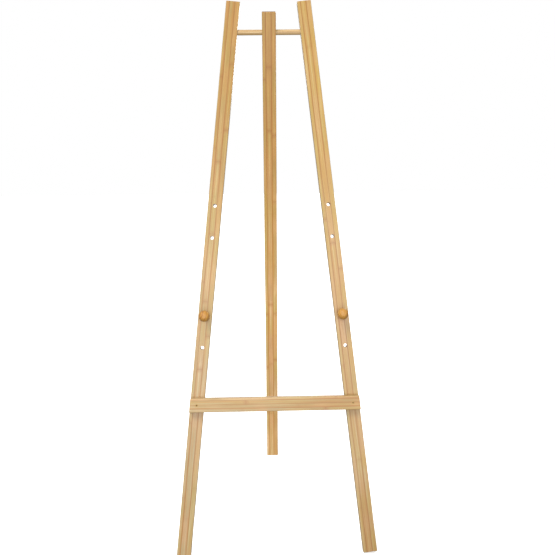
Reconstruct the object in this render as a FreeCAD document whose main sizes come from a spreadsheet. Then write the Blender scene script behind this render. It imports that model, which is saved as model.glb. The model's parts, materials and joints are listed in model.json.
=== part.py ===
import FreeCAD, Part
import os
import Sketcher
from FreeCAD import Vector

# A folding display easel of laminated bamboo: two splayed front legs joined by a round dowel at the
# top and a flat rail low down, a rear leg that swings on the dowel, and two turned pegs that plug
# into the front legs.  Millimetres, +Z up, the front faces -Y, left is -X.  The origin is on the
# floor, at the middle of the feet's footprint.

# Driving sizes: alias, value, what it is.  Angles are in degrees.
SIZES = [
    ("stock_width", 38, "width of each leg, across its front face"),
    ("stock_thick", 22, "thickness of each leg, front to back"),
    ("edge_round", 1.5, "radius along every edge of the legs and the rail"),
    ("leg_length", 1520, "length of a front leg"),
    ("foot_spacing", 509, "between the front legs' centre lines at the foot ends"),
    ("splay_angle", 5.95, "each front leg, off the middle plane"),
    ("lean_angle", 12.5, "front legs' plane, off the vertical"),
    ("front_head", 84, "front legs, dowel centre to top end, along the leg"),
    ("rear_head", 54, "rear leg, dowel centre to top end"),
    ("dowel_dia", 15, "round dowel at the top"),
    ("dowel_play", 0.05, "gap round the dowel in the rear leg, on the radius"),
    ("glue_gap", 0.05, "gap round the dowel in its sockets, on the radius"),
    ("dowel_chamfer", 1, "chamfer on the dowel's ends"),
    ("hole_dia", 10, "peg holes"),
    ("first_hole", 568, "foot end to the lowest peg hole, along the leg"),
    ("pair_gap", 88, "between the two holes of a pair"),
    ("pair_step", 301, "between the lower and the upper pair"),
    ("rail_height", 38, "rail, across its front face"),
    ("rail_thick", 20, "rail, front to back"),
    ("rail_level", 411, "foot ends to the rail's middle, up the legs' plane"),
    ("tenon_play", 0.08, "gap round a peg in its hole, on the radius"),
    ("tenon_length", 20, "part of a peg that sits in the leg"),
    ("tenon_chamfer", 1, "lead-in at the peg's end"),
    ("shank_dia", 14, "part of a peg that carries the board"),
    ("shank_length", 22, "leg's face to the back of the peg's head"),
    ("head_dia", 30, "ball head of a peg"),
    ("head_flat_dia", 11, "flat on the front of the head"),
    ("screw_dia", 4, "shank of a rail screw"),
    ("screw_length", 36, "rail screw, over all"),
    ("screw_tip", 5, "length of a rail screw's point"),
    ("screw_head_dia", 8, "countersunk head"),
    ("screw_play", 0.2, "gap round the screw in the rail, on the radius"),
    ("thread_play", 0.05, "gap round the screw in the leg and under its head"),
    ("screw_sink", 0.4, "head below the rail's front face"),
    ("recess_width", 1, "one slot of the cross recess"),
    ("recess_length", 4.6, "one slot of the cross recess"),
    ("recess_depth", 1.5, "cross recess"),
]

# Sizes that follow from the driving ones.  The feet are cut square, so each one stands on the lowest
# point of its rounded end, and the rear leg opens until its own lowest point is on the same floor.
FOLLOWING = [
    ("pivot_reach", "leg_length - front_head", "foot end to dowel centre, along each of the three legs"),
    ("core_width", "stock_width / 2 - edge_round", "half width inside the rounding"),
    ("core_thick", "stock_thick / 2 - edge_round", "half thickness inside the rounding"),
    ("foot_lift", "core_width * sin(splay_angle) * cos(lean_angle) + core_thick * sin(lean_angle)"
     " + edge_round * (1 - cos(splay_angle) * cos(lean_angle))", "front foot ends' centres over the floor"),
    ("pivot_run", "pivot_reach * cos(splay_angle)", "dowel centre, up the legs' plane"),
    ("pivot_level", "pivot_run * cos(lean_angle) + foot_lift", "dowel centre over the floor"),
    ("core_reach", "pivot_reach - edge_round", "dowel centre to the core of the rear foot"),
    ("rear_angle", "(atan(core_thick / core_reach)"
     " + acos((pivot_level - edge_round) / sqrt(core_reach ^ 2 + core_thick ^ 2))) / 1deg",
     "rear leg, off the vertical"),
    ("front_reach", "core_width * sin(splay_angle) * sin(lean_angle) + core_thick * cos(lean_angle)"
     " + edge_round * (1 - cos(splay_angle) * sin(lean_angle))", "front feet's centres to their front"),
    ("back_reach", "pivot_run * sin(lean_angle) + pivot_reach * sin(rear_angle)"
     " + core_thick * cos(rear_angle) + edge_round * (1 - sin(rear_angle))",
     "front feet's centres to the back of the rear foot"),
    ("plane_shift", "(front_reach - back_reach) / 2", "front feet's centres from the origin, along Y"),
    ("pivot_shift", "plane_shift + pivot_run * sin(lean_angle)", "dowel centre from the origin, along Y"),
    ("pivot_half", "foot_spacing / 2 - pivot_run * tan(splay_angle)", "leg centre line at the dowel"),
    ("rail_half", "foot_spacing / 2 - rail_level * tan(splay_angle)", "leg centre line at the rail"),
    ("rail_end", "rail_half + stock_width / 2 / cos(splay_angle)", "rail's half length at mid height"),
    ("rail_slope", "rail_height / 2 * tan(splay_angle)", "rail's half length, bottom less middle"),
    ("screw_seat", "rail_thick - screw_sink", "leg's face to the top of a rail screw"),
    ("pilot_depth", "screw_length - screw_seat + 1", "screw hole in the leg, 1 past the screw's tip"),
    ("head_back", "sqrt(head_dia ^ 2 - shank_dia ^ 2) / 2", "ball's centre to the shank"),
    ("head_front", "sqrt(head_dia ^ 2 - head_flat_dia ^ 2) / 2", "ball's centre to its front flat"),
    ("ball_centre", "shank_length + head_back", "leg's face to the ball's centre"),
]

doc = FreeCAD.newDocument("display_easel")


def fill_sheet():
    """Writes the driving sizes and the ones that follow, each under its alias."""
    sheet = doc.addObject("Spreadsheet::Sheet", "sizes")
    rows = [(name, str(value), note) for name, value, note in SIZES]
    rows += [(name, "=" + formula, note) for name, formula, note in FOLLOWING]
    for row, (name, content, note) in enumerate(rows, start=1):
        sheet.set("A%d" % row, name)
        sheet.set("B%d" % row, content)
        sheet.set("C%d" % row, note)
        sheet.setAlias("B%d" % row, name)
    doc.recompute()
    return sheet


sheet = fill_sheet()


def number(formula):
    """The present value of a formula on the sheet's aliases, which are written sizes.NAME."""
    result = sheet.evalExpression(formula)
    return float(getattr(result, "Value", result))


def new_body(label):
    body = doc.addObject("PartDesign::Body", label)
    body.Label = label
    return body


def feature(body, kind, name, **settings):
    """A PartDesign feature; text settings are bound to the sheet, others are set as they are."""
    made = body.newObject("PartDesign::" + kind, name)
    for key, value in settings.items():
        if isinstance(value, str) and "sizes." in value:
            made.setExpression(key, value)
        else:
            setattr(made, key, value)
    return made


def new_sketch(body, name, plane, offset="0", height="0", turn="0"):
    """A sketch on one of the body's origin planes, moved off it, up it and turned about its X axis."""
    sketch = body.newObject("Sketcher::SketchObject", name)
    base = [item for item in body.Origin.OriginFeatures if item.Role == plane][0]
    sketch.AttachmentSupport = [(base, "")]
    sketch.MapMode = "FlatFace"
    sketch.setExpression("AttachmentOffset", "placement(vector(0; %s; %s);"
                         " rotation(vector(1; 0; 0); %s))" % (height, offset, turn))
    return sketch


def pin_point(sketch, geometry, position, x_size, y_size):
    """Holds a point at the sizes x and y from the sketch's origin; "0" puts it on the axis, None is free."""
    for kind, axis, size in (("DistanceX", -2, x_size), ("DistanceY", -1, y_size)):
        if size is None:
            continue
        if size == "0":
            sketch.addConstraint(Sketcher.Constraint("PointOnObject", geometry, position, axis))
            continue
        rule = sketch.addConstraint(
            Sketcher.Constraint(kind, -1, 1, geometry, position, number(size)))
        sketch.setExpression("Constraints[%d]" % rule, size)


def draw_outline(sketch, corners):
    """A closed outline of straight lines, each corner held at its two sizes."""
    points = [Vector(number(x), number(y), 0) for x, y in corners]
    lines = []
    for start, end in zip(points, points[1:] + points[:1]):
        lines.append(sketch.addGeometry(Part.LineSegment(start, end)))
    for line, following in zip(lines, lines[1:] + lines[:1]):
        sketch.addConstraint(Sketcher.Constraint("Coincident", line, 2, following, 1))
    for line, (x_size, y_size) in zip(lines, corners):
        pin_point(sketch, line, 1, x_size, y_size)


def draw_circle(sketch, x_size, y_size, diameter):
    centre = Vector(number(x_size), number(y_size), 0)
    circle = sketch.addGeometry(Part.Circle(centre, Vector(0, 0, 1), number(diameter) / 2))
    pin_point(sketch, circle, 3, x_size, y_size)
    rule = sketch.addConstraint(Sketcher.Constraint("Diameter", circle, number(diameter)))
    sketch.setExpression("Constraints[%d]" % rule, diameter)


def draw_centred_box(sketch, width, height):
    draw_outline(sketch, [("-%s / 2" % width, "-%s / 2" % height), ("%s / 2" % width, "-%s / 2" % height),
                          ("%s / 2" % width, "%s / 2" % height), ("-%s / 2" % width, "%s / 2" % height)])


def checked_cut(body, cut):
    """Recomputes and makes sure that the cut took material away."""
    doc.recompute()
    before = cut.BaseFeature.Shape.Volume
    after = cut.Shape.Volume
    if not after < before - 1:
        raise RuntimeError("%s in %s cuts nothing" % (cut.Name, body.Label))
    return cut


def in_leg_plane(across, forward, up, turn="0"):
    """Placement formula for a piece set out in the front legs' leaning plane."""
    floor_to_plane = ("placement(vector(0; sizes.plane_shift; sizes.foot_lift);"
                      " rotation(vector(1; 0; 0); -sizes.lean_angle))")
    in_plane = "placement(vector(%s; -(%s); %s); rotation(vector(0; 1; 0); %s))" % (across, forward, up, turn)
    return floor_to_plane + " * " + in_plane


def rounded_bar(body, length, start="0"):
    """A length of the legs' stock along the body's Z, with every edge rounded."""
    section = new_sketch(body, "Section_" + body.Label, "XY_Plane", offset=start)
    draw_centred_box(section, "sizes.stock_width", "sizes.stock_thick")
    feature(body, "Pad", "Bar_" + body.Label, Profile=section, Length=length)
    doc.recompute()
    feature(body, "Fillet", "Rounding_" + body.Label, Base=(body.Tip, [""]), UseAllEdges=True,
            Radius="sizes.edge_round")
    doc.recompute()


def front_leg(label, side):
    """One front leg; its own Z runs up the leg from the foot end.  side is -1 on the left, 1 on the right."""
    body = new_body(label)
    rounded_bar(body, "sizes.leg_length")

    pair = new_sketch(body, "PegPair_" + label, "XZ_Plane")
    draw_circle(pair, "0", "sizes.first_hole", "sizes.hole_dia")
    draw_circle(pair, "0", "sizes.first_hole + sizes.pair_gap", "sizes.hole_dia")
    holes = feature(body, "Pocket", "PegHoles_" + label, Profile=pair, Type="ThroughAll", Midplane=True)
    checked_cut(body, holes)
    upper = feature(body, "LinearPattern", "UpperPegHoles_" + label, Originals=[holes],
                    Direction=(pair, ["V_Axis"]), Length="sizes.pair_step", Occurrences=2)
    body.Tip = upper
    checked_cut(body, upper)

    # The dowel runs level, so its blind socket is turned by the splay; it starts on the centre line.
    socket = new_sketch(body, "SocketEnd_" + label, "YZ_Plane", height="sizes.pivot_reach",
                        turn="%d * sizes.splay_angle" % side)
    draw_circle(socket, "0", "0", "sizes.dowel_dia + 2 * sizes.glue_gap")
    bore = feature(body, "Pocket", "DowelSocket_" + label, Profile=socket, Length="sizes.stock_width",
                   Reversed=side < 0)
    checked_cut(body, bore)

    pilot = new_sketch(body, "ScrewPoint_" + label, "XZ_Plane",
                       offset="sizes.stock_thick / 2 - sizes.pilot_depth")
    draw_circle(pilot, "0", "sizes.rail_level / cos(sizes.splay_angle)",
                "sizes.screw_dia + 2 * sizes.thread_play")
    screw_hole = feature(body, "Pocket", "ScrewHole_" + label, Profile=pilot, Length="sizes.stock_thick",
                         Reversed=True)
    checked_cut(body, screw_hole)

    body.setExpression("Placement", in_leg_plane("%d * sizes.foot_spacing / 2" % side, "0", "0",
                                                 "%d * sizes.splay_angle" % -side))
    return body


def rear_leg():
    """The rear leg; its own origin is the dowel's centre and its Z runs up the leg."""
    body = new_body("rear_leg")
    rounded_bar(body, "sizes.pivot_reach + sizes.rear_head", start="-sizes.pivot_reach")
    eye = new_sketch(body, "Eye", "YZ_Plane")
    draw_circle(eye, "0", "0", "sizes.dowel_dia + 2 * sizes.dowel_play")
    bore = feature(body, "Pocket", "DowelBore", Profile=eye, Type="ThroughAll", Midplane=True)
    checked_cut(body, bore)
    body.setExpression("Placement", "placement(vector(0; sizes.pivot_shift; sizes.pivot_level);"
                                    " rotation(vector(1; 0; 0); sizes.rear_angle))")
    return body


def top_dowel():
    """The round dowel along X, glued into the front legs; it reaches the bottoms of its sockets."""
    body = new_body("top_dowel")
    section = new_sketch(body, "DowelSection", "YZ_Plane")
    draw_circle(section, "0", "0", "sizes.dowel_dia")
    rod = feature(body, "Pad", "Rod", Profile=section, Midplane=True, Length="2 * sizes.pivot_half")
    doc.recompute()
    ends = ["Edge%d" % index for index, edge in enumerate(rod.Shape.Edges, start=1)
            if isinstance(edge.Curve, Part.Circle)]
    feature(body, "Chamfer", "DowelEnds", Base=(rod, ends), Size="sizes.dowel_chamfer")
    body.setExpression("Placement", "placement(vector(0; sizes.pivot_shift; sizes.pivot_level);"
                                    " rotation(vector(1; 0; 0); -sizes.lean_angle))")
    return body


def cross_rail():
    """The flat rail on the legs' front faces; its own origin is the middle of its back."""
    body = new_body("cross_rail")
    front = new_sketch(body, "RailFront", "XZ_Plane")
    long_half = "sizes.rail_end + sizes.rail_slope"
    short_half = "sizes.rail_end - sizes.rail_slope"
    draw_outline(front, [("-(%s)" % long_half, "-sizes.rail_height / 2"),
                         (long_half, "-sizes.rail_height / 2"),
                         (short_half, "sizes.rail_height / 2"),
                         ("-(%s)" % short_half, "sizes.rail_height / 2")])
    slab = feature(body, "Pad", "Slab", Profile=front, Length="sizes.rail_thick")
    doc.recompute()
    feature(body, "Fillet", "RailRounding", Base=(slab, [""]), UseAllEdges=True, Radius="sizes.edge_round")
    doc.recompute()

    centres = new_sketch(body, "ScrewCentres", "XZ_Plane", offset="sizes.rail_thick")
    for sign in ("-", ""):
        draw_circle(centres, sign + "sizes.rail_half", "0", "sizes.screw_dia")
    doc.recompute()
    drilled = feature(body, "Hole", "ScrewHoles", Profile=centres)
    drilled.DepthType = "ThroughAll"
    drilled.HoleCutType = "Countersink"
    drilled.HoleCutCustomValues = True
    drilled.setExpression("Diameter", "sizes.screw_dia + 2 * sizes.screw_play")
    drilled.setExpression("HoleCutDiameter", "sizes.screw_head_dia + 2 * sizes.screw_sink"
                                             " + 2 * sizes.thread_play")
    drilled.HoleCutCountersinkAngle = 90
    checked_cut(body, drilled)
    body.setExpression("Placement", in_leg_plane("0", "sizes.stock_thick / 2", "sizes.rail_level"))
    return body


def rail_screw(label, side):
    """A countersunk wood screw; its own origin is the middle of the head's top, and it points along +Y."""
    body = new_body(label)
    profile = new_sketch(body, "ScrewProfile_" + label, "XY_Plane")
    radius = "sizes.screw_dia / 2"
    head = "sizes.screw_head_dia / 2"
    draw_outline(profile, [("0", "0"), (head, "0"), (radius, "%s - %s" % (head, radius)),
                           (radius, "sizes.screw_length - sizes.screw_tip"), ("0", "sizes.screw_length")])
    feature(body, "Revolution", "Turned_" + label, Profile=profile, ReferenceAxis=(profile, ["V_Axis"]),
            Angle=360)
    doc.recompute()
    slot = new_sketch(body, "Slot_" + label, "XZ_Plane")
    draw_centred_box(slot, "sizes.recess_width", "sizes.recess_length")
    first = feature(body, "Pocket", "RecessSlot_" + label, Profile=slot, Length="sizes.recess_depth")
    checked_cut(body, first)
    cross = feature(body, "PolarPattern", "CrossRecess_" + label, Originals=[first],
                    Axis=(slot, ["N_Axis"]), Angle=90, Occurrences=2)
    body.Tip = cross
    checked_cut(body, cross)
    body.setExpression("Placement", in_leg_plane("%d * sizes.rail_half" % side,
                                                 "sizes.stock_thick / 2 + sizes.screw_seat",
                                                 "sizes.rail_level"))
    return body


def draw_peg_half(sketch):
    """Half the peg's outline: the turning axis is the sketch's vertical, the head is at the bottom."""
    tenon = "sizes.hole_dia / 2 - sizes.tenon_play"
    shank = "sizes.shank_dia / 2"
    flat = "sizes.head_flat_dia / 2"
    corners = [("0", "sizes.tenon_length"),
               ("%s - sizes.tenon_chamfer" % tenon, "sizes.tenon_length"),
               (tenon, "sizes.tenon_length - sizes.tenon_chamfer"),
               (tenon, "0"), (shank, "0"), (shank, "-sizes.shank_length"),
               (flat, "-sizes.ball_centre - sizes.head_front"),
               ("0", "-sizes.ball_centre - sizes.head_front")]
    points = [Vector(number(x), number(y), 0) for x, y in corners]
    ball = Vector(0, -number("sizes.ball_centre"), 0)
    side_of_ball = ball + Vector(number("sizes.head_dia") / 2, 0, 0)
    pieces = [Part.LineSegment(start, end) for start, end in zip(points, points[1:] + points[:1])]
    pieces[5] = Part.Arc(points[5], side_of_ball, points[6])
    drawn = [sketch.addGeometry(piece) for piece in pieces]
    # An arc runs anticlockwise, so the ball's arc starts at the front flat and ends at the shank.
    for index, piece in enumerate(drawn):
        following = (index + 1) % len(drawn)
        leaves = 1 if index == 5 else 2
        enters = 2 if following == 5 else 1
        sketch.addConstraint(Sketcher.Constraint("Coincident", piece, leaves, drawn[following], enters))
    for index, (x_size, y_size) in enumerate(corners):
        if index in (5, 6):
            continue
        pin_point(sketch, drawn[index], 1, x_size, y_size)
    pin_point(sketch, drawn[5], 3, "0", "-sizes.ball_centre")
    rule = sketch.addConstraint(Sketcher.Constraint("Diameter", drawn[5], number("sizes.head_dia")))
    sketch.setExpression("Constraints[%d]" % rule, "sizes.head_dia")
    pin_point(sketch, drawn[5], 2, shank, None)
    pin_point(sketch, drawn[5], 1, flat, None)


def turned_peg(label, side):
    """A turned peg; its own origin is where its shoulder meets the leg, and its head is along -Y."""
    body = new_body(label)
    profile = new_sketch(body, "PegProfile_" + label, "XY_Plane")
    draw_peg_half(profile)
    feature(body, "Revolution", "Turned_" + label, Profile=profile, ReferenceAxis=(profile, ["V_Axis"]),
            Angle=360)
    peg_hole = "(sizes.first_hole + sizes.pair_gap)"
    body.setExpression("Placement", in_leg_plane(
        "%d * (sizes.foot_spacing / 2 - %s * sin(sizes.splay_angle))" % (side, peg_hole),
        "sizes.stock_thick / 2", "%s * cos(sizes.splay_angle)" % peg_hole, "%d * sizes.splay_angle" % -side))
    return body


def check_model(bodies):
    """Stops on any failed feature and on any piece that isn't one valid solid."""
    for item in doc.Objects:
        if "Invalid" in item.State or "Error" in item.State:
            raise RuntimeError("%s failed: %s" % (item.Name, item.State))
    for body in bodies:
        shape = body.Shape
        if shape.isNull() or not shape.isValid() or len(shape.Solids) != 1:
            raise RuntimeError("%s isn't one valid solid" % body.Label)


def export_parts(bodies):
    os.makedirs("parts", exist_ok=True)
    for body in bodies:
        body.Shape.exportStep("parts/%s.step" % body.Label)


easel = [
    front_leg("left_front_leg", -1),
    front_leg("right_front_leg", 1),
    rear_leg(),
    top_dowel(),
    cross_rail(),
    rail_screw("left_rail_screw", -1),
    rail_screw("right_rail_screw", 1),
    turned_peg("left_peg", -1),
    turned_peg("right_peg", 1),
]
doc.recompute()
check_model(easel)
export_parts(easel)
for piece in easel:
    box = piece.Shape.BoundBox
    print("%-18s %9.0f mm3  X %.1f..%.1f  Y %.1f..%.1f  Z %.2f..%.1f" % (
        piece.Label, piece.Shape.Volume, box.XMin, box.XMax, box.YMin, box.YMax, box.ZMin, box.ZMax))
print("rear leg %.3f degrees off the vertical, dowel at Y %.3f Z %.3f" % (
    number("sizes.rear_angle"), number("sizes.pivot_shift"), number("sizes.pivot_level")))
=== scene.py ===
import json
import math

import bmesh
import bpy
from mathutils import Matrix, Vector


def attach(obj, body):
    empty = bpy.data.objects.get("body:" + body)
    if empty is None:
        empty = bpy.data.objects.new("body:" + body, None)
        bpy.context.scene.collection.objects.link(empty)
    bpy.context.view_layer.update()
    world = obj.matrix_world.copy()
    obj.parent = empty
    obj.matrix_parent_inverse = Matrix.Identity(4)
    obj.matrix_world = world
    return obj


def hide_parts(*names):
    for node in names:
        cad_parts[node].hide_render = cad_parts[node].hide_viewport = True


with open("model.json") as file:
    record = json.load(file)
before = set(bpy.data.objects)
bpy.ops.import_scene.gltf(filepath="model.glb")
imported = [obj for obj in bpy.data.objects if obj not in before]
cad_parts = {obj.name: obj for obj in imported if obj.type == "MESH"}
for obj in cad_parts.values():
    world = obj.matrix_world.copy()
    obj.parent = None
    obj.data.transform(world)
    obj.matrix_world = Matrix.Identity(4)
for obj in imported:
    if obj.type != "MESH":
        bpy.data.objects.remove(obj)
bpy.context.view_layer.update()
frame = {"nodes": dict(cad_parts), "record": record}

# A folding display easel of laminated bamboo: two splayed front legs on a round dowel and a flat
# rail, a rear leg that swings on the dowel, and two turned pegs that carry the board.  The bars and
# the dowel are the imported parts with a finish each; the pegs and the rail's screws are made here.

MM = 0.001
UP = Vector((0, 0, 1))
# Faces that meet at more than this angle, in degrees, are drawn with a crisp edge between them.
CRISP_EDGE = 38


def tint(red, green, blue):
    """A colour as a paint chart gives it, 0 to 255, in the linear values that shaders take."""
    return tuple(((v / 255 + 0.055) / 1.055) ** 2.4 for v in (red, green, blue))


# ---------------------------------------------------------------- sizes of what is made here, mm

BORE_RADIUS = 5.0
PEG_TENON_RADIUS = 4.92
PEG_TENON = 20.0
PEG_LEAD_IN = 1.0
PEG_SHANK_RADIUS = 7.0
PEG_SHANK = 22.0
PEG_NECK_COVE = 2.5
PEG_HEAD_RADIUS = 15.0
PEG_FLAT_RADIUS = 5.5
SCREW_HEAD = 8.0
SCREW_SHANK = 4.0
SCREW_CORE = 2.9
SCREW_LENGTH = 36.0
SCREW_TIP = 5.0
THREAD_PITCH = 1.8
RECESS_SPAN = 4.6
RECESS_WIDTH = 1.0
RECESS_DEPTH = 1.5

# ---------------------------------------------------------------- colours

CREAM = tint(205, 184, 140)
OLIVE = tint(174, 151, 88)
ROSE = tint(195, 155, 114)
AMBER = tint(184, 133, 68)
FIBRE = tint(155, 111, 58)
DARK_FIBRE = tint(112, 72, 36)
SKIN = tint(160, 106, 42)
GLUE = tint(132, 82, 28)
SIDE_SHADE = tint(160, 136, 100)
KNUCKLE = tint(160, 104, 56)
END_GRAIN = tint(138, 98, 56)
ROD_CREAM = tint(212, 185, 138)
ROD_PALE = tint(194, 161, 109)
ROD_TAN = tint(168, 128, 80)
PEG_HEART = tint(200, 151, 66)
PEG_LATE = tint(152, 97, 38)
BRONZE_DARK = tint(140, 114, 76)
BRONZE_LIGHT = tint(170, 142, 98)
RECESS_SHADE = tint(46, 36, 26)
SOFT_WHITE = (1.0, 0.99, 0.97)

# ---------------------------------------------------------------- how the bamboo is laid up, mm

KNUCKLE_STEP = 190.0
SCAR_WIDTH = 1.8
BAND_WIDTH = 12.0
SKIN_WIDTH = 4.2
GLUE_WIDTH = 0.7
SAWN_END = 0.3
DRILLED_RIM = 0.9
SIDE_SHADE_WIDTH = 2.4
RUBBED_EDGE = 1.6
GRAIN_RELIEF = 0.16
# A bar is planed to width once it is glued, which takes this share of a strip off its two sides,
# a little more off one than off the other, and the joints wander by this share of a strip.
PLANED_OFF = 0.5
OFF_CENTRE = 0.08
WANDER = 0.2
# How much of the painted light that lifts a bar's front layer the layers behind it get.
PAINTED_LIGHT_BEHIND = 0.25


# ---------------------------------------------------------------- camera, light and floor

def set_camera(place, lens, turn, tilt, roll):
    """The scene's camera: turn is to the right, tilt down and roll clockwise, in degrees."""
    data = bpy.data.cameras.new("eye_level_camera")
    data.sensor_width = 36
    data.lens = lens
    turn, tilt, roll = (math.radians(angle) for angle in (turn, tilt, roll))
    heading = Vector((math.sin(turn), math.cos(turn), 0))
    beside = Vector((math.cos(turn), -math.sin(turn), 0))
    ahead = heading * math.cos(tilt) - UP * math.sin(tilt)
    level = UP * math.cos(tilt) + heading * math.sin(tilt)
    right = beside * math.cos(roll) - level * math.sin(roll)
    above = level * math.cos(roll) + beside * math.sin(roll)
    camera = bpy.data.objects.new("eye_level_camera", data)
    bpy.context.scene.collection.objects.link(camera)
    axes = Matrix((right, above, -ahead)).transposed().to_4x4()
    camera.matrix_world = Matrix.Translation(place) @ axes
    bpy.context.scene.camera = camera


def add_lamp(name, kind, place, aim, colour, power, **settings):
    """A light at place that shines towards aim."""
    data = bpy.data.lights.new(name, kind)
    data.color = colour
    data.energy = power
    for key, value in settings.items():
        setattr(data, key, value)
    lamp = bpy.data.objects.new(name, data)
    bpy.context.scene.collection.objects.link(lamp)
    lamp.location = place
    lamp.rotation_euler = (Vector(aim) - Vector(place)).to_track_quat("-Z", "Y").to_euler()


# ---------------------------------------------------------------- how nodes are written

class Signal:
    """One output in a tree of nodes. Arithmetic on it adds a Math node."""

    def __init__(self, tree, socket):
        self.tree = tree
        self.socket = socket

    def out(self, name):
        """Another output of the same node."""
        return Signal(self.tree, self.socket.node.outputs[name])

    def __add__(self, other):
        return self.tree.maths("ADD", self, other)

    def __sub__(self, other):
        return self.tree.maths("SUBTRACT", self, other)

    def __rsub__(self, other):
        return self.tree.maths("SUBTRACT", other, self)

    def __mul__(self, other):
        return self.tree.maths("MULTIPLY", self, other)

    def __truediv__(self, other):
        return self.tree.maths("DIVIDE", self, other)

    def __neg__(self):
        return self.tree.maths("MULTIPLY", self, -1)

    def __abs__(self):
        return self.tree.maths("ABSOLUTE", self)

    def floor(self):
        return self.tree.maths("FLOOR", self)

    def within(self, low, high):
        """The value, held between low and high."""
        return self.tree.maths("MINIMUM", self.tree.maths("MAXIMUM", self, low), high)

    def step(self, start, end):
        """0 at start, 1 at end and smooth between them, whichever of the two is the larger."""
        falls = end < start
        return self.tree.node(
            "ShaderNodeMapRange", {"interpolation_type": "SMOOTHSTEP"},
            {"Value": self, "From Min": min(start, end), "From Max": max(start, end),
             "To Min": float(falls), "To Max": float(not falls)})

    __radd__ = __add__
    __rmul__ = __mul__


class Tree:
    """A tree of nodes written as expressions."""

    def __init__(self, nodes):
        self.nodes = nodes

    def node(self, kind, settings=None, sockets=None, output=0):
        """Adds a node: its settings first, then its sockets by name or number. A ramp's stops are
        (place, colour) and its steps are whether they don't blend."""
        made = self.nodes.nodes.new(kind)
        for key, value in (settings or {}).items():
            if key == "stops":
                while len(made.color_ramp.elements) < len(value):
                    made.color_ramp.elements.new(1)
                for stop, (place, colour) in zip(made.color_ramp.elements, value):
                    stop.position = place
                    stop.color = (*colour, 1)
            elif key == "steps":
                made.color_ramp.interpolation = "CONSTANT" if value else "LINEAR"
            else:
                setattr(made, key, value)
        for key, value in (sockets or {}).items():
            for one in value if isinstance(value, list) else [value]:
                self.fill(made.inputs[key], one)
        return None if output is None else Signal(self, made.outputs[output])

    def fill(self, socket, value):
        """Links a signal to a socket, or sets the socket's own value."""
        if isinstance(value, Signal):
            self.nodes.links.new(value.socket, socket)
        elif socket.type == "RGBA":
            socket.default_value = (*value, 1)
        else:
            socket.default_value = value

    def maths(self, operation, *terms):
        return self.node("ShaderNodeMath", {"operation": operation}, dict(enumerate(terms)))

    def vector(self, x=0.0, y=0.0, z=0.0):
        return self.node("ShaderNodeCombineXYZ", None, {0: x, 1: y, 2: z})

    def parts(self, vector):
        """A vector's three numbers."""
        split = self.node("ShaderNodeSeparateXYZ", None, {0: vector})
        return split, split.out("Y"), split.out("Z")

    def distance(self, x, y):
        return self.maths("SQRT", x * x + y * y)


class Finish(Tree):
    """A material. What is the same all over is set on the shader's own sockets."""

    def __init__(self, name, **constants):
        self.material = bpy.data.materials.new(name)
        self.material.use_nodes = True
        super().__init__(self.material.node_tree)
        self.shader = self.nodes.nodes["Principled BSDF"]
        self.feed(**constants)

    def feed(self, **values):
        """Fills the shader's sockets: base_color is Base Color."""
        for key, value in values.items():
            title = "IOR" if key == "ior" else key.replace("_", " ").title()
            self.fill(self.shader.inputs[title], value)

    def own_frame(self, place):
        """Across, through and along the piece, in millimetres."""
        spot = self.node("ShaderNodeTexCoord", output="Object")
        return self.parts(self.node(
            "ShaderNodeMapping", {"vector_type": "TEXTURE"},
            {"Vector": spot, "Location": place.to_translation(), "Rotation": place.to_euler(),
             "Scale": (MM, MM, MM)}))

    def grain(self, x, y, z, detail=3.0):
        """Soft noise from 0 to 1, about one feature to each unit of x, y and z."""
        return self.node("ShaderNodeTexNoise", None,
                         {"Vector": self.vector(x, y, z), "Scale": 1.0, "Detail": detail})

    def chance(self, x, y, z):
        """A number from 0 to 1 that is the same all over a cell."""
        return self.node("ShaderNodeTexWhiteNoise", None, {"Vector": self.vector(x, y, z)})

    def mix(self, share, one, other, way="MIX"):
        """Colour one turned into colour other by share."""
        return self.node("ShaderNodeMix", {"data_type": "RGBA", "blend_type": way},
                         {0: share, 6: one, 7: other}, output=2)

    def ramp(self, value, *stops, steps=False):
        return self.node("ShaderNodeValToRGB", {"stops": stops, "steps": steps}, {0: value})

    def relief(self, height, depth):
        """Bumps of the given depth, in millimetres."""
        self.feed(normal=self.node("ShaderNodeBump", None,
                                   {"Strength": 1.0, "Distance": depth * MM, "Height": height}))


# ---------------------------------------------------------------- the white studio

def paint_room(above, below):
    """A white surround that gives more light from above than from below."""
    world = bpy.data.worlds.new("white_room")
    bpy.context.scene.world = world
    world.use_nodes = True
    tree = Tree(world.node_tree)
    height = tree.parts(tree.node("ShaderNodeTexCoord"))[2]
    glow = (height * 0.5 + 0.5) * (above - below) + below
    seen = tree.node("ShaderNodeLightPath", output="Is Camera Ray")
    tree.fill(tree.nodes.nodes["Background"].inputs["Strength"], seen + (1 - seen) * glow)
    tree.fill(tree.nodes.nodes["Background"].inputs["Color"], (1, 1, 1))


def lay_floor():
    """A plain white floor with no edge in sight. It throws no light back and shows in no gloss."""
    finish = Finish("white_floor", roughness=0.9, emission_color=(1, 1, 1), emission_strength=0.45)
    spot = finish.node("ShaderNodeTexCoord", output="Object")
    haze = finish.node("ShaderNodeTexNoise", None, {"Vector": spot, "Scale": 0.8})
    finish.feed(base_color=finish.ramp(haze, (0.0, (0.88, 0.88, 0.88)), (1.0, (0.92, 0.92, 0.92))))
    half = 9.0
    mesh = bpy.data.meshes.new("studio_floor")
    mesh.from_pydata([(-half, -half, 0), (half, -half, 0), (half, half, 0), (-half, half, 0)], [],
                     [(0, 1, 2, 3)])
    mesh.materials.append(finish.material)
    floor = bpy.data.objects.new("studio_floor", mesh)
    bpy.context.scene.collection.objects.link(floor)
    floor.visible_diffuse = False
    floor.visible_glossy = False


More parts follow.
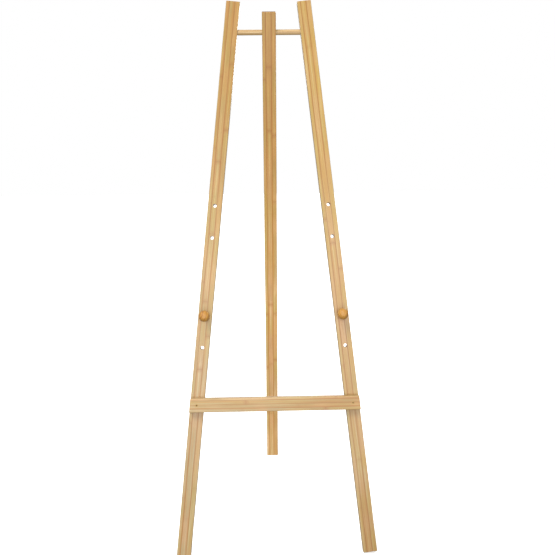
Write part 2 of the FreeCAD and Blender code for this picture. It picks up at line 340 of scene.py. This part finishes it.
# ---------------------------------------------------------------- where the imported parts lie

def settled(name, across, through, along):
    """A part's own frame on those axes, from the middle of its low end, and its size on them."""
    axes = Matrix((across, through, along))
    points = [axes @ vertex.co for vertex in frame["nodes"][name].data.vertices]
    low = Vector([min(point[i] for point in points) for i in range(3)])
    high = Vector([max(point[i] for point in points) for i in range(3)])
    foot = axes.transposed() @ Vector(((low.x + high.x) / 2, (low.y + high.y) / 2, low.z))
    return Matrix.Translation(foot) @ axes.transposed().to_4x4(), high - low


def bar_frame(name):
    """A bar's frame: X across its broad face, Y through it to the back, Z along it from the low end.
    The faces give the directions: the broad pair has the most area and the narrow pair is next."""
    areas = {}
    for face in frame["nodes"][name].data.polygons:
        key = max(tuple(round(v, 2) for v in face.normal), tuple(round(-v, 2) for v in face.normal))
        way = face.normal if face.normal.dot(Vector(key)) > 0 else -face.normal
        areas.setdefault(key, Vector()).__iadd__(way * face.area)
    ranked = [total.normalized() for total in sorted(areas.values(), key=lambda total: -total.length)]
    through = ranked[0] if ranked[0].y > 0 else -ranked[0]
    narrow = next(way for way in ranked if abs(way.dot(through)) < 0.1)
    along = through.cross(narrow).normalized()
    along = along if along.z + along.x > 0 else -along
    return settled(name, through.cross(along), through, along)


def turned_frame(name, outward):
    """A turned part's frame: Z outward on its centre line, from its inner end."""
    across = Vector((1, 0, 0))
    return settled(name, across, outward.cross(across), outward)


# ---------------------------------------------------------------- finishes

def laminated_bamboo(name, bar, tones, painted_light_and_tone, layers=4, lines=1.2, pale=1.0, shift=0.0, bores=()):
    """Bamboo strips glued side by side and in layers, sanded flush and lacquered satin.
    tones has each strip's colour across the front face; deeper layers take them in turn.
    The ramp after tones is painted light and shade along the whole bar, from its low end to its high
    end, with a shift of tone, as (share, tint); lines is how strongly the strips' outer skins and the
    glue between them show, and pale multiplies the front layer's colour as painted light."""
    place, size = bar
    width, thickness, length = (v / MM for v in size)
    strips = len(tones)
    pitch, depth = width / (strips - PLANED_OFF), thickness / layers
    finish = Finish(name, coat_weight=0.35, coat_roughness=0.32, ior=1.5)
    across, through, along = finish.own_frame(place)

    # Which strip and which layer, and how far from their glue joints.
    wander = finish.grain(along * 0.005, shift, 4.0, detail=1.0) - 0.5
    side = across / pitch + strips / 2 + OFF_CENTRE + wander * WANDER
    level = through / depth * 0.999 + layers / 2
    strip = side.floor().within(0, strips - 1)
    layer = level.floor().within(0, layers - 1)
    glue = 0.0
    for stack, count, step in ((side, strips, pitch), (level, layers, depth)):
        if count > 1:
            joint = (stack + 0.5).floor().within(1, count - 1)
            faded = finish.grain(joint * 4.1, step + shift, along * 0.014, detail=1.0).step(0.3, 0.6)
            glue = (abs(stack - joint) * step).step(GLUE_WIDTH, 0.1) * (faded * 0.6 + 0.4) + glue
    glue = glue.within(0, 1)
    skin = ((1 - (side - strip)) * pitch).step(SKIN_WIDTH, 0.4) * strip.step(strips - 1, strips - 2)

    # Knuckles: each strip has its own, unevenly spaced, a thin arched scar in a tan band.
    cell = finish.chance(strip, layer, shift)
    own = along + cell * 900
    run = own / KNUCKLE_STEP
    count = run.floor()
    luck = finish.chance(count, strip + layer * 7, shift + 3.7)
    bulge = side - strip - 0.5
    ragged = finish.grain(across * 1.3, through * 1.3, count, detail=2.0) * 2
    gap = abs((run - count - 0.3 - luck * 0.4) * KNUCKLE_STEP + bulge * bulge * 5 + ragged - 1)
    strength = luck.step(0.25, 0.95)
    scar = gap.step(SCAR_WIDTH, 0.2) * strength
    band = gap.step(BAND_WIDTH, 1.0) * strength

    # Fibres: broad streaks, fine ones that swell at the knuckles, and short dark flecks.
    swell = band * 0.35
    streak = finish.grain(across * 0.34, through * 0.34, own * 0.006)
    fibre = finish.grain(across * 1.7 + swell, through * 1.7, own * 0.025)
    fleck = finish.grain(across * 4.2, through * 4.2, own * 0.085, detail=1.0).step(0.6, 0.76)
    drift = finish.grain(strip * 3.1 + shift, layer * 2.3, along * 0.006, detail=1.0)
    blush = finish.grain(strip * 2.7 - shift, layer * 1.9 + 5, along * 0.009, detail=1.0)

    turn = finish.maths("FLOORED_MODULO", strip + layer * 2, strips)
    colour = finish.ramp(turn / strips + 0.02, *[(i / strips, tone) for i, tone in enumerate(tones)],
                         steps=True)
    colour = finish.mix(drift.step(0.4, 0.65) * 0.6, colour, OLIVE)
    colour = finish.mix(blush.step(0.42, 0.66) * 0.6, colour, ROSE)
    colour = finish.mix(streak.step(0.46, 0.7) * 0.6, colour, AMBER)
    colour = finish.mix(streak.step(0.5, 0.28) * 0.55, colour, CREAM)
    colour = finish.mix(fibre.step(0.5, 0.74) * 0.5, colour, FIBRE)
    colour = finish.mix(fleck * 0.4, colour, DARK_FIBRE)
    colour = finish.mix(skin * (streak * 0.8 + 0.35) * lines, colour, SKIN)
    colour = finish.mix(band * 0.4, colour, KNUCKLE)
    colour = finish.mix(scar * 0.2, colour, DARK_FIBRE)
    colour = finish.mix(glue * (0.5 * lines), colour, GLUE)
    # Painted shade: the narrow sides and the front face next to them are greyed towards the tone they
    # show in shade.
    painted_side_shade = abs(across).step(width / 2 - SIDE_SHADE_WIDTH, width / 2 - 0.4)
    colour = finish.mix(painted_side_shade * 0.3, colour, SIDE_SHADE)

    # Painted light: the front layer is lifted paler to stand in for light the lamps don't bring it, the
    # layers behind get a share of that lift, and painted light and shade runs along the bar with a
    # shift of tone.
    front = (1 - layer).within(0, 1) * (1 - PAINTED_LIGHT_BEHIND) + PAINTED_LIGHT_BEHIND
    colour = finish.mix(front, colour, (pale, pale, pale), "MULTIPLY")
    colour = finish.mix(1.0, colour, finish.ramp(along / length, *painted_light_and_tone), "MULTIPLY")

    # Sawn ends are darker, drilled rims too; the long edges are rubbed paler in places.
    end = along.step(SAWN_END, 0.1) + along.step(length - SAWN_END, length - 0.1)
    colour = finish.mix(end * 0.5, colour, END_GRAIN)
    edge = (abs(across).step(width / 2 - RUBBED_EDGE, width / 2 - 0.5)
            * abs(through).step(thickness / 2 - RUBBED_EDGE, thickness / 2 - 0.5))
    rubbed = edge * finish.grain(across * 0.5, through * 0.5, along * 0.03).step(0.42, 0.6)
    colour = finish.mix(rubbed * 0.35, colour, CREAM)
    for x, z in bores:
        reach = finish.distance(across - x, along - z)
        rim = reach.step(BORE_RADIUS + DRILLED_RIM, BORE_RADIUS + 0.1)
        wall = reach.step(BORE_RADIUS + 0.1, BORE_RADIUS + 0.04)
        colour = finish.mix(rim * 0.4 + wall * 0.35, colour, END_GRAIN)

    finish.feed(base_color=colour, roughness=0.4 + fibre * 0.12 + end * 0.25 + glue * 0.1)
    finish.relief(fibre * 0.5 + streak * 0.4 - glue * 0.8 - scar * 0.5 + band * 0.4, GRAIN_RELIEF)
    return finish.material


def turned_wood(name, bar, shift):
    """Close-grained wood turned on a lathe and lacquered: rings, pores and faint tool marks."""
    finish = Finish(name, coat_weight=0.15, coat_roughness=0.3, ior=1.45)
    across, through, along = finish.own_frame(bar[0])
    ring = finish.distance(across + 21 + shift, through * 0.8 - 9)
    warp = finish.grain(across * 0.05, through * 0.05, along * 0.03) * 5
    growth = finish.grain((ring + warp) * 0.62, shift, along * 0.008)
    pore = finish.grain(across * 3.2, through * 3.2, along * 0.16, detail=1.0).step(0.58, 0.74)
    fibre = finish.grain(across * 1.5, through * 1.5, along * 0.05)
    tool = finish.grain(shift, 2.0, along * 1.4)
    colour = finish.ramp(growth, (0.32, PEG_HEART), (0.66, PEG_LATE))
    colour = finish.mix(fibre.step(0.4, 0.75) * 0.3, colour, PEG_LATE)
    colour = finish.mix(pore * 0.45, colour, DARK_FIBRE)
    finish.feed(base_color=colour, roughness=0.44 + fibre * 0.14)
    finish.relief(tool * 0.5 + fibre * 0.3 - pore * 0.5, 0.1)
    return finish.material


def pale_rod(name, bar):
    """A straight-grained pale rod, sanded and lacquered: long fibres and short ray flecks."""
    finish = Finish(name, coat_weight=0.35, coat_roughness=0.3, ior=1.5)
    across, through, along = finish.own_frame(bar[0])
    streak = finish.grain(across * 0.3, through * 0.5, along * 0.008)
    fibre = finish.grain(across * 1.8, through * 1.8, along * 0.03)
    ray = finish.grain(across * 2.2, through * 2.2, along * 0.35, detail=1.0).step(0.62, 0.74)
    colour = finish.ramp(streak, (0.3, ROD_CREAM), (0.52, ROD_PALE), (0.72, ROD_TAN))
    colour = finish.mix(fibre.step(0.45, 0.8) * 0.35, colour, ROD_TAN)
    colour = finish.mix(ray * 0.4, colour, FIBRE)
    finish.feed(base_color=colour, roughness=0.42 + fibre * 0.15)
    finish.relief(fibre * 0.6 - ray * 0.4, 0.1)
    return finish.material


def bronzed_steel(name, bar, spacing):
    """Yellow bronzed screws with fine turned lines, and painted shade inside the recess."""
    finish = Finish(name, metallic=1.0, ior=1.5)
    across, through, along = finish.own_frame(bar[0])
    reach = finish.distance(abs(across - spacing / 2) - spacing / 2, through)
    lines = finish.grain(reach * 5, 1.0, along * 0.6)
    cloud = finish.grain(across * 0.5, through * 0.5, along * 0.5)
    # Painted shade: the cross recess is darkened where shade falls in it.
    painted_recess_shade = (along.step(SCREW_LENGTH - 0.1, SCREW_LENGTH - 0.5)
            * reach.step(RECESS_SPAN / 2 + 0.3, RECESS_SPAN / 2))
    colour = finish.ramp(cloud, (0.3, BRONZE_DARK), (0.7, BRONZE_LIGHT))
    colour = finish.mix(painted_recess_shade, colour, RECESS_SHADE)
    finish.feed(base_color=colour, roughness=0.4 + lines * 0.2 + painted_recess_shade * 0.3)
    finish.relief(lines, 0.03)
    return finish.material


# ---------------------------------------------------------------- turned pegs

def arc(centre, radius, start, end, steps):
    """Points (along, radius) on an arc about a centre, angles in degrees from the outward direction."""
    points = []
    for i in range(steps + 1):
        angle = math.radians(start + (end - start) * i / steps)
        points.append((centre[0] + radius * math.cos(angle), centre[1] + radius * math.sin(angle)))
    return points


def peg_outline():
    """The peg's outline from the tenon's end to the head's flat, as (along, radius) in millimetres."""
    shoulder = PEG_TENON
    neck = shoulder + PEG_SHANK
    ball = neck + math.sqrt(PEG_HEAD_RADIUS ** 2 - PEG_SHANK_RADIUS ** 2)
    front = ball + math.sqrt(PEG_HEAD_RADIUS ** 2 - PEG_FLAT_RADIUS ** 2)
    # The cove between shank and ball touches both.
    spread = PEG_HEAD_RADIUS + PEG_NECK_COVE
    height = PEG_SHANK_RADIUS + PEG_NECK_COVE
    cove = ball - math.sqrt(spread ** 2 - height ** 2)
    lean = math.degrees(math.asin(height / spread))
    eased = 0.35
    return ([(0, 0), (0, PEG_TENON_RADIUS - PEG_LEAD_IN), (PEG_LEAD_IN, PEG_TENON_RADIUS),
             (shoulder, PEG_TENON_RADIUS), (shoulder, PEG_SHANK_RADIUS - eased)]
            + arc((shoulder + eased, PEG_SHANK_RADIUS - eased), eased, 180, 90, 4)[1:]
            + arc((cove, height), PEG_NECK_COVE, -90, -lean, 8)
            + arc((ball, 0), PEG_HEAD_RADIUS, 180 - lean,
                  math.degrees(math.asin((PEG_FLAT_RADIUS + eased) / PEG_HEAD_RADIUS)), 40)[1:]
            + [(front, PEG_FLAT_RADIUS - eased), (front, 0)])


def turn_on_lathe(name, outline, place, material, segments=96):
    """A closed solid of revolution about the frame's Z, with its poles closed."""
    shape = bmesh.new()
    rings = []
    for along, radius in outline:
        count = segments if radius > 0 else 1
        rings.append([shape.verts.new((radius * MM * math.cos(math.tau * i / segments),
                                       radius * MM * math.sin(math.tau * i / segments), along * MM))
                      for i in range(count)])
    for lower, upper in zip(rings, rings[1:]):
        for i in range(segments):
            j = (i + 1) % segments
            corners = [lower[i % len(lower)], lower[j % len(lower)],
                       upper[j % len(upper)], upper[i % len(upper)]]
            shape.faces.new(list(dict.fromkeys(corners)))
    bmesh.ops.transform(shape, matrix=place, verts=shape.verts)
    bmesh.ops.recalc_face_normals(shape, faces=shape.faces)
    mesh = bpy.data.meshes.new(name)
    shape.to_mesh(mesh)
    shape.free()
    mesh.shade_smooth()
    mesh.set_sharp_from_angle(angle=math.radians(CRISP_EDGE))
    mesh.materials.append(material)
    piece = bpy.data.objects.new(name, mesh)
    bpy.context.scene.collection.objects.link(piece)
    return piece


# ---------------------------------------------------------------- rail screws

def screw_tree():
    """Countersunk wood screws with a cross recess, one at each end of a line, heads along Z."""
    group = bpy.data.node_groups.new("rail_screws", "GeometryNodeTree")
    tree = Tree(group)
    group.interface.new_socket("Geometry", in_out="OUTPUT", socket_type="NodeSocketGeometry")
    group.interface.new_socket("Geometry", in_out="INPUT", socket_type="NodeSocketGeometry")
    for name in ("Head Radius", "Shank Radius", "Core Radius", "Length", "Tip Length", "Thread Pitch",
                 "Recess Span", "Recess Width", "Recess Depth"):
        group.interface.new_socket(name, in_out="INPUT", socket_type="NodeSocketFloat")
    for name, kind in (("First Seat", "Vector"), ("Last Seat", "Vector"), ("Turn", "Rotation"),
                       ("Metal", "Material")):
        group.interface.new_socket(name, in_out="INPUT", socket_type="NodeSocket" + kind)
    given = tree.node("NodeGroupInput").out
    head, shank, core = given("Head Radius"), given("Shank Radius"), given("Core Radius")
    length, tip = given("Length"), given("Tip Length")
    sink = head - shank

    cone = tree.node("GeometryNodeMeshCone", None,
                     {"Vertices": 48, "Radius Top": head, "Radius Bottom": shank, "Depth": sink})
    cone = tree.node("GeometryNodeTransform", None,
                     {"Geometry": cone, "Translation": tree.vector(z=-sink)})
    width, span, deep = given("Recess Width"), given("Recess Span"), given("Recess Depth") * 2
    slots = [tree.node("GeometryNodeMeshCube", None, {"Size": tree.vector(x, y, deep)})
             for x, y in ((width, span), (span, width))]
    cone = tree.node("GeometryNodeMeshBoolean", {"operation": "DIFFERENCE", "solver": "EXACT"},
                     {"Mesh 1": cone, "Mesh 2": slots})

    # The shank and its thread taper together over the tip.
    height = tree.parts(tree.node("GeometryNodeInputPosition"))[2]
    taper = ((height + length) / tip).within(0.02, 1)
    ring = tree.node("GeometryNodeCurvePrimitiveCircle", None, {"Resolution": 32, "Radius": 1.0})
    axis = tree.node("GeometryNodeCurvePrimitiveLine", None,
                     {"Start": tree.vector(z=-sink * 0.9), "End": tree.vector(z=-length)})
    axis = tree.node("GeometryNodeResampleCurve", None, {"Curve": axis, "Count": 48})
    stem = tree.node("GeometryNodeCurveToMesh", None,
                     {"Curve": axis, "Profile Curve": ring, "Scale": taper * core, "Fill Caps": True})
    threaded = length * 0.66
    spiral = tree.node("GeometryNodeCurveSpiral", None,
                       {"Resolution": 28, "Rotations": threaded / given("Thread Pitch"),
                        "Start Radius": 1.0, "End Radius": 1.0, "Height": threaded})
    spiral = tree.node("GeometryNodeTransform", None,
                       {"Geometry": spiral, "Translation": tree.vector(z=-length)})
    x, y, z = tree.parts(tree.node("GeometryNodeInputPosition"))
    crest = taper * (core * 0.5 + shank * 0.5)
    spiral = tree.node("GeometryNodeSetPosition", None,
                       {"Geometry": spiral, "Position": tree.vector(x * crest, y * crest, z)})
    ridge = tree.node("GeometryNodeCurvePrimitiveCircle", None, {"Resolution": 3, "Radius": 1.0})
    thread = tree.node("GeometryNodeCurveToMesh", None,
                       {"Curve": spiral, "Profile Curve": ridge, "Scale": taper * (shank - core) * 0.5,
                        "Fill Caps": True})
    screw = tree.node("GeometryNodeJoinGeometry", None, {"Geometry": [cone, stem, thread]})

    seats = tree.node("GeometryNodeMeshLine", {"mode": "END_POINTS"},
                      {"Count": 2, "Start Location": given("First Seat"), "Offset": given("Last Seat")})
    pair = tree.node("GeometryNodeInstanceOnPoints", None,
                     {"Points": seats, "Instance": screw, "Rotation": given("Turn")})
    pair = tree.node("GeometryNodeRealizeInstances", None, {"Geometry": pair})
    pair = tree.node("GeometryNodeSetMaterial", None, {"Geometry": pair, "Material": given("Metal")})
    tree.node("NodeGroupOutput", None, {0: pair}, output=None)
    return group


def make_rail_screws(first, last):
    """Both rail screws as one mesh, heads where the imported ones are."""
    group = screw_tree()
    seats = [place @ Vector((0, 0, size.z)) for place, size in (first, last)]
    sizes = {
        "Head Radius": SCREW_HEAD / 2 * MM, "Shank Radius": SCREW_SHANK / 2 * MM,
        "Core Radius": SCREW_CORE / 2 * MM, "Length": SCREW_LENGTH * MM, "Tip Length": SCREW_TIP * MM,
        "Thread Pitch": THREAD_PITCH * MM, "Recess Span": RECESS_SPAN * MM,
        "Recess Width": RECESS_WIDTH * MM, "Recess Depth": RECESS_DEPTH * MM,
        "First Seat": seats[0], "Last Seat": seats[1], "Turn": first[0].to_euler(),
        "Metal": bronzed_steel("bronzed_steel", first, (seats[1] - seats[0]).length / MM),
    }
    piece = bpy.data.objects.new("rail_screws", bpy.data.meshes.new("rail_screws"))
    bpy.context.scene.collection.objects.link(piece)
    modifier = piece.modifiers.new("rail_screws", "NODES")
    modifier.node_group = group
    for item in group.interface.items_tree:
        if item.in_out == "INPUT" and item.name in sizes:
            modifier[item.identifier] = sizes[item.name]
    depsgraph = bpy.context.evaluated_depsgraph_get()
    mesh = bpy.data.meshes.new_from_object(piece.evaluated_get(depsgraph))
    piece.modifiers.clear()
    piece.data = mesh
    mesh.shade_smooth()
    mesh.set_sharp_from_angle(angle=math.radians(CRISP_EDGE))
    return piece


# ---------------------------------------------------------------- the easel

def cover(node, material):
    """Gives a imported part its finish."""
    for slot in frame["nodes"][node].material_slots:
        slot.material = material


set_camera(place=(-0.0381, -2.3006, 1.1965), lens=51.74, turn=1.361, tilt=12.046, roll=0.617)
bpy.context.scene.view_settings.view_transform = "Standard"
paint_room(above=0.84, below=0.24)
add_lamp("key_from_upper_left", "SUN", (-1.4, -1.7, 3.9), (0, 0, 0.8), (1.0, 0.98, 0.95), 1.92,
         angle=math.radians(24))
for name, place, aim, power, width, height in (
        ("front_softbox", (0.1, -2.7, 1.35), (0, 0, 0.7), 28.8, 1.6, 0.8),
        ("low_fill", (0.0, -2.2, 0.5), (0, 0.3, 0.3), 8.4, 1.2, 0.5),
        ("back_fill", (0.6, 2.9, 1.7), (0, 0, 0.7), 34.0, 1.6, 1.0)):
    add_lamp(name, "AREA", place, aim, SOFT_WHITE, power, shape="RECTANGLE", size=width, size_y=height)
lay_floor()

mounts = frame["record"]["mounts"]
face_out = Vector(mounts[0]["axis"]).normalized()
# Each front leg's strips across its front face, and the painted light and shade along it from the foot
# up, with a shift of tone.
LEG_TONES_AND_PAINTED_LIGHT = {
    "left": ((tint(166, 140, 94), tint(168, 147, 106), tint(168, 138, 88)),
             ((0.0, tint(240, 243, 249)), (0.32, tint(239, 244, 245)), (0.55, tint(248, 246, 217)),
              (0.85, tint(248, 236, 188)))),
    "right": ((tint(184, 154, 86), tint(184, 147, 82), tint(184, 149, 77)),
              ((0.0, tint(213, 206, 192)), (0.15, tint(231, 235, 247)), (0.32, tint(232, 231, 238)),
               (0.55, tint(239, 236, 214)), (0.85, tint(255, 255, 236)))),
}
for number, (side, (tones, painted_light_and_tone)) in enumerate(LEG_TONES_AND_PAINTED_LIGHT.items()):
    leg, peg = side + "_front_leg", side + "_peg"
    leg_bar, peg_bar = bar_frame(leg), turned_frame(peg, face_out)
    into_leg = leg_bar[0].inverted()
    places = [Vector(m["pos_m"]) for m in mounts if m["kind"] == "bore" and m["name"].startswith(side)]
    places.append(peg_bar[0].to_translation())
    bores = [((into_leg @ place).x / MM, (into_leg @ place).z / MM) for place in places]
    cover(leg, laminated_bamboo("bamboo_" + leg, leg_bar, tones, painted_light_and_tone, shift=2.0 + number * 5.3,
                                bores=bores))
    wood = turned_wood("honey_" + peg, peg_bar, shift=number * 4.1)
    turned = turn_on_lathe(side + "_turned_peg", peg_outline(), peg_bar[0], wood)
    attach(turned, peg)
    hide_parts(peg)

# The rear leg's pale lift is painted light on its front, which faces down and away from the lamps, and
# its ramp is painted light and shade along it.
cover("rear_leg", laminated_bamboo(
    "bamboo_rear_leg", bar_frame("rear_leg"),
    (tint(172, 147, 94), tint(178, 142, 104), tint(168, 136, 86)),
    ((0.0, tint(249, 246, 247)), (0.5, tint(236, 237, 226)), (0.9, tint(198, 183, 116))),
    pale=1.75, shift=15.7))
# The rail's ramp is painted light and shade along it, with a shift of tone.
cover("cross_rail", laminated_bamboo(
    "bamboo_cross_rail", bar_frame("cross_rail"),
    (tint(168, 136, 85), tint(164, 142, 94), tint(164, 137, 88), tint(162, 142, 103)),
    ((0.0, tint(249, 249, 240)), (0.4, tint(245, 241, 227)), (0.8, tint(234, 221, 183))),
    layers=1, lines=0.8, shift=40.3))
rod_axis = Vector((1, 0, 0))
cover("top_dowel", pale_rod("pale_rod", settled("top_dowel", UP, UP.cross(-rod_axis), rod_axis)))

screws = make_rail_screws(*(turned_frame(side + "_rail_screw", face_out) for side in LEG_TONES_AND_PAINTED_LIGHT))
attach(screws, "front_frame")
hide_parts("left_rail_screw", "right_rail_screw")
